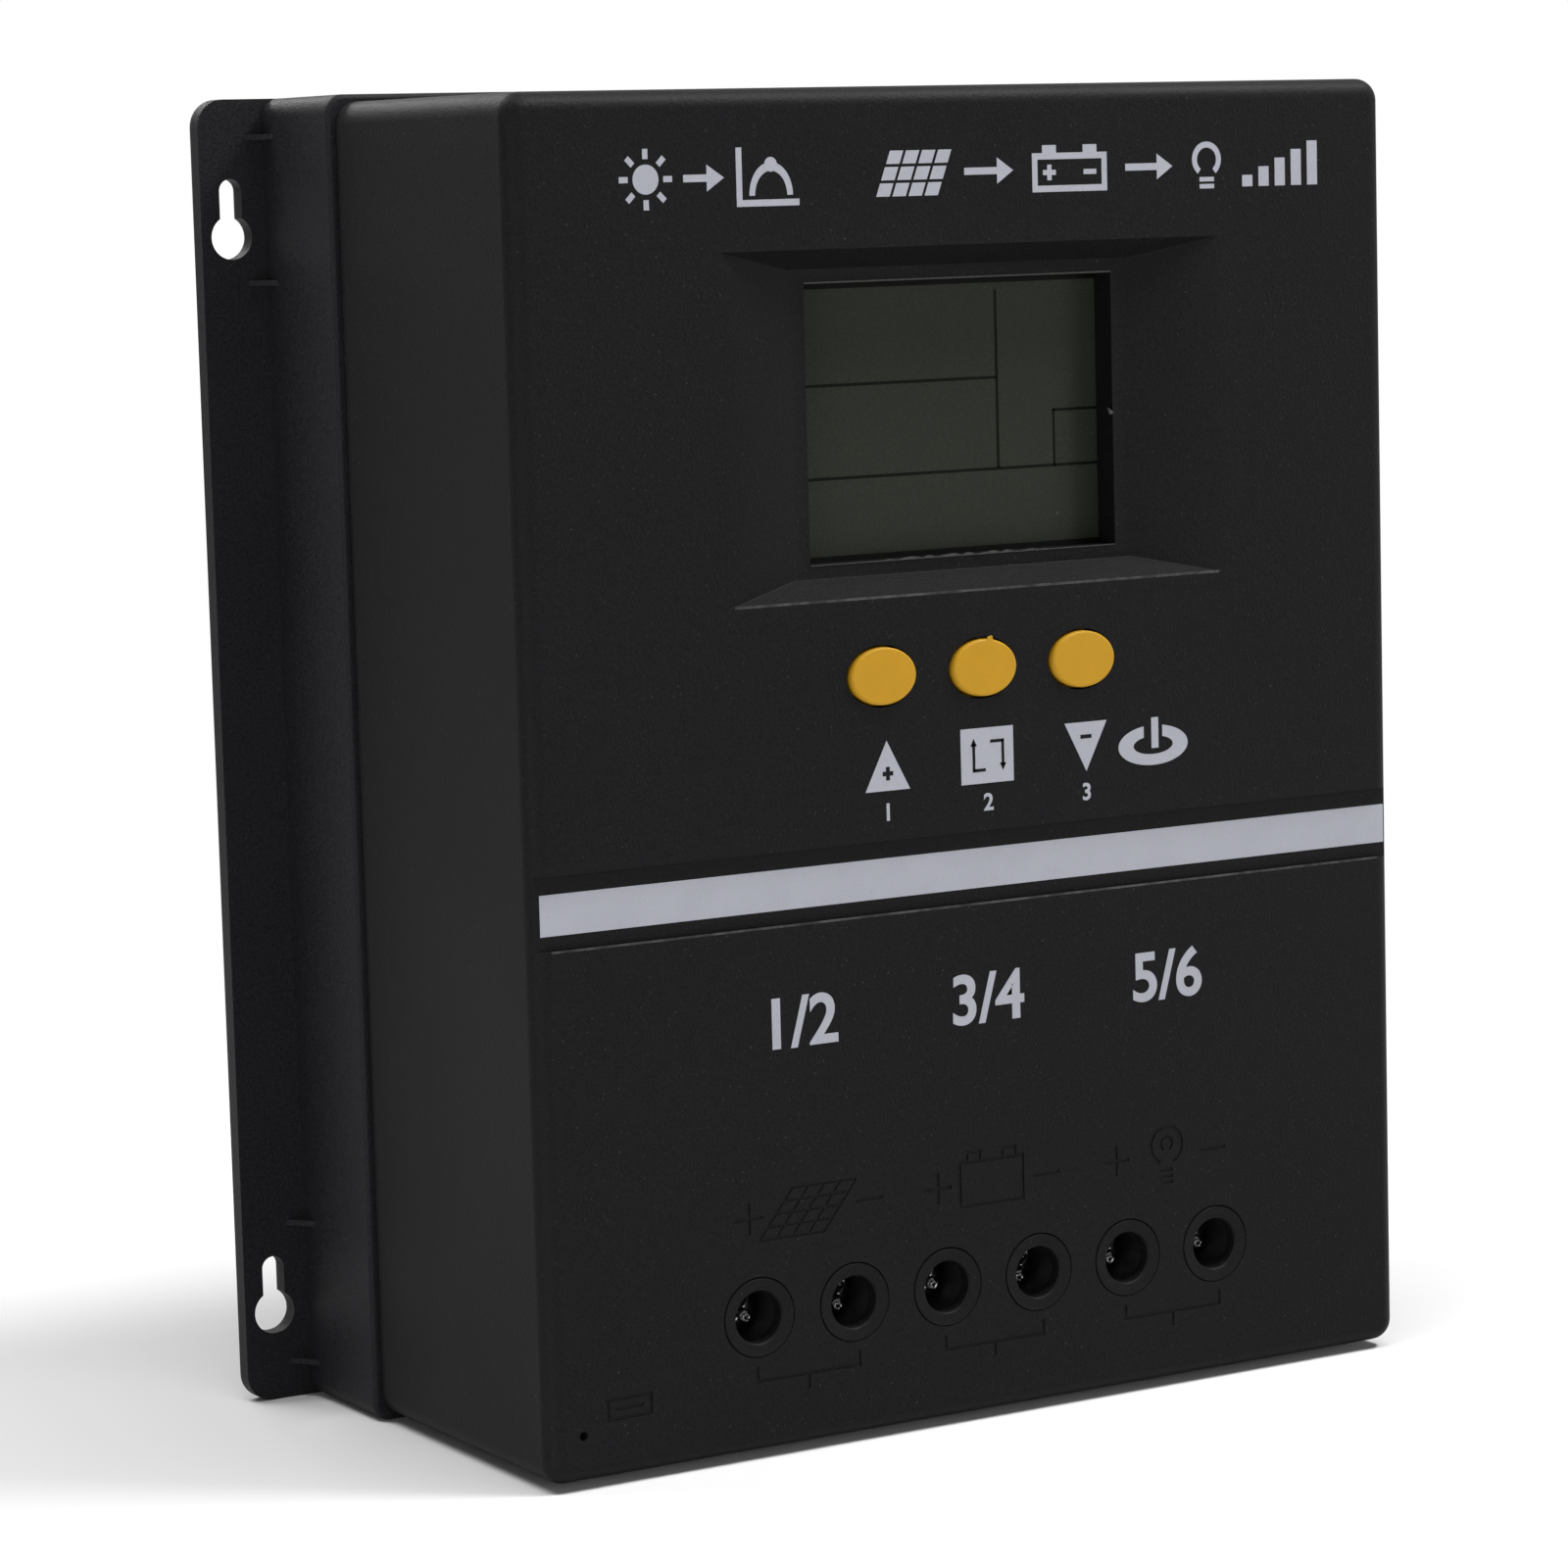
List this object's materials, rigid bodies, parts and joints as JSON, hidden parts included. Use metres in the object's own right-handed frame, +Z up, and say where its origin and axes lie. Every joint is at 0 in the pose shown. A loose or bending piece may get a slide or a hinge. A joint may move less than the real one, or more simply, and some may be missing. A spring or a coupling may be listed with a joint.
{
  "type": "solar charge controller",
  "caption": "Wall-mount solar charge controller: black box on a flanged tray with keyhole ears, recessed display, oval push buttons and screw-clamp wire terminals along the bottom.",
  "frame": {"origin": "centre of the tray's flat back, which lies against the wall", "axes": "+Z up, +X to the right of someone facing the front, the front looks along -Y"},
  "size_m": [0.184, 0.0856, 0.21],
  "materials": {
    "housing": "fine matte black moulding",
    "display_glass": "unlit grey-green display cell, opaque",
    "display_frame": "white backlight holder",
    "circuit_board": "green laminate",
    "switch": "black",
    "button": "warm yellow, satin",
    "screw": "zinc plated",
    "plated_steel": "nickel plated",
    "contact": "tinned",
    "terminal_moulding": "glossy black",
    "heat_sink": "plain extrusion",
    "package": "black moulded package",
    "capacitor": "dark sleeve",
    "choke": "powder core",
    "ribbon": "grey flat cable",
    "header": "off-white",
    "socket_shell": "bright shell"
  },
  "bodies": {
    "housing": {"base_tray": "housing", "front_cover": "housing", "lcd_glass": "display_glass", "lcd_frame": "display_frame", "control_pcb": "circuit_board", "power_pcb": "circuit_board", "tact_switch_1": "switch", "tact_switch_2": "switch", "tact_switch_3": "switch", "case_screw_1": "screw", "case_screw_2": "screw", "case_screw_3": "screw", "case_screw_4": "screw", "control_screw_1": "screw", "control_screw_2": "screw", "control_screw_3": "screw", "control_screw_4": "screw", "power_screw_1": "screw", "power_screw_2": "screw", "power_screw_3": "screw", "power_screw_4": "screw", "contact_bar_1": "contact", "contact_bar_2": "contact", "contact_bar_3": "contact", "contact_bar_4": "contact", "contact_bar_5": "contact", "contact_bar_6": "contact", "terminal_block_1": "terminal_moulding", "terminal_block_2": "terminal_moulding", "terminal_block_3": "terminal_moulding", "heat_sink": "heat_sink", "mosfet_1": "package", "mosfet_2": "package", "mosfet_3": "package", "mosfet_4": "package", "capacitor_1": "capacitor", "capacitor_2": "capacitor", "choke": "choke", "ribbon_cable": "ribbon", "control_header": "header", "power_header": "header", "usb_socket": "socket_shell"},
    "button_1": {"button_cap_1": "button", "switch_plunger_1": "switch"},
    "button_2": {"button_cap_2": "button", "switch_plunger_2": "switch"},
    "button_3": {"button_cap_3": "button", "switch_plunger_3": "switch"},
    "screw_1": {"terminal_screw_1": "plated_steel"},
    "cage_1": {"clamp_cage_1": "plated_steel"},
    "screw_2": {"terminal_screw_2": "plated_steel"},
    "cage_2": {"clamp_cage_2": "plated_steel"},
    "screw_3": {"terminal_screw_3": "plated_steel"},
    "cage_3": {"clamp_cage_3": "plated_steel"},
    "screw_4": {"terminal_screw_4": "plated_steel"},
    "cage_4": {"clamp_cage_4": "plated_steel"},
    "screw_5": {"terminal_screw_5": "plated_steel"},
    "cage_5": {"clamp_cage_5": "plated_steel"},
    "screw_6": {"terminal_screw_6": "plated_steel"},
    "cage_6": {"clamp_cage_6": "plated_steel"}
  },
  "joints": [
    {"name": "button_1_press", "type": "slide", "parent": "housing", "child": "button_1", "axis": [0, 1, 0], "range_m": [0, 0.0006], "stiffness_N_per_m": 2500, "springref_m": -0.0002},
    {"name": "button_2_press", "type": "slide", "parent": "housing", "child": "button_2", "axis": [0, 1, 0], "range_m": [0, 0.0006], "stiffness_N_per_m": 2500, "springref_m": -0.0002},
    {"name": "button_3_press", "type": "slide", "parent": "housing", "child": "button_3", "axis": [0, 1, 0], "range_m": [0, 0.0006], "stiffness_N_per_m": 2500, "springref_m": -0.0002},
    {"name": "terminal_screw_1_turn", "type": "hinge", "parent": "housing", "child": "screw_1", "pos_m": [-0.04288, -0.07, -0.0826], "axis": [0, 1, 0], "range_deg": [0, 2160]},
    {"name": "clamp_cage_1_rise", "type": "slide", "parent": "housing", "child": "cage_1", "axis": [0, -1, 0], "range_m": [0, 0.006]},
    {"name": "terminal_screw_2_turn", "type": "hinge", "parent": "housing", "child": "screw_2", "pos_m": [-0.02573, -0.07, -0.0826], "axis": [0, 1, 0], "range_deg": [0, 2160]},
    {"name": "clamp_cage_2_rise", "type": "slide", "parent": "housing", "child": "cage_2", "axis": [0, -1, 0], "range_m": [0, 0.006]},
    {"name": "terminal_screw_3_turn", "type": "hinge", "parent": "housing", "child": "screw_3", "pos_m": [-0.00857, -0.07, -0.0826], "axis": [0, 1, 0], "range_deg": [0, 2160]},
    {"name": "clamp_cage_3_rise", "type": "slide", "parent": "housing", "child": "cage_3", "axis": [0, -1, 0], "range_m": [0, 0.006]},
    {"name": "terminal_screw_4_turn", "type": "hinge", "parent": "housing", "child": "screw_4", "pos_m": [0.00857, -0.07, -0.0826], "axis": [0, 1, 0], "range_deg": [0, 2160]},
    {"name": "clamp_cage_4_rise", "type": "slide", "parent": "housing", "child": "cage_4", "axis": [0, -1, 0], "range_m": [0, 0.006]},
    {"name": "terminal_screw_5_turn", "type": "hinge", "parent": "housing", "child": "screw_5", "pos_m": [0.02573, -0.07, -0.0826], "axis": [0, 1, 0], "range_deg": [0, 2160]},
    {"name": "clamp_cage_5_rise", "type": "slide", "parent": "housing", "child": "cage_5", "axis": [0, -1, 0], "range_m": [0, 0.006]},
    {"name": "terminal_screw_6_turn", "type": "hinge", "parent": "housing", "child": "screw_6", "pos_m": [0.04288, -0.07, -0.0826], "axis": [0, 1, 0], "range_deg": [0, 2160]},
    {"name": "clamp_cage_6_rise", "type": "slide", "parent": "housing", "child": "cage_6", "axis": [0, -1, 0], "range_m": [0, 0.006]}
  ],
  "couplings": [
    {"joint": "terminal_screw_1_turn", "follows": "clamp_cage_1_rise", "rad_per_m": 6283.2},
    {"joint": "terminal_screw_2_turn", "follows": "clamp_cage_2_rise", "rad_per_m": 6283.2},
    {"joint": "terminal_screw_3_turn", "follows": "clamp_cage_3_rise", "rad_per_m": 6283.2},
    {"joint": "terminal_screw_4_turn", "follows": "clamp_cage_4_rise", "rad_per_m": 6283.2},
    {"joint": "terminal_screw_5_turn", "follows": "clamp_cage_5_rise", "rad_per_m": 6283.2},
    {"joint": "terminal_screw_6_turn", "follows": "clamp_cage_6_rise", "rad_per_m": 6283.2}
  ]
}
